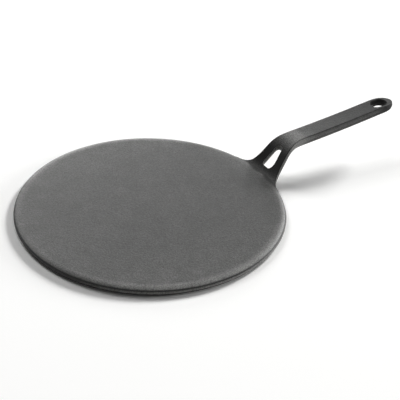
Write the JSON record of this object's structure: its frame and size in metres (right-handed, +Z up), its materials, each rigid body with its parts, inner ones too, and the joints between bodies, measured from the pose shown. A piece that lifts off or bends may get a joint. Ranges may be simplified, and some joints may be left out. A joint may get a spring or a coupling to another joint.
{
  "type": "cast iron tawa",
  "caption": "Flat round cast iron griddle whose cast-in handle climbs from the rim as a fork round a teardrop opening, bends, and ends in a hanging hole.",
  "frame": {"origin": "centre of the plate's flat underside, on the surface it stands on", "axes": "+X from the plate's centre along the handle to the hanging eye, +Z up out of the cooking face, +Y to the left of the handle"},
  "size_m": [0.4586, 0.28, 0.0515],
  "materials": {
    "cast_iron": "fine sand-cast grain, seasoned with oil to a soft dark grey sheen"
  },
  "bodies": {
    "root": {"griddle_plate": "cast_iron", "fork_leg_left": "cast_iron", "fork_leg_right": "cast_iron", "handle_grip": "cast_iron", "hanging_eye": "cast_iron"}
  },
  "joints": []
}
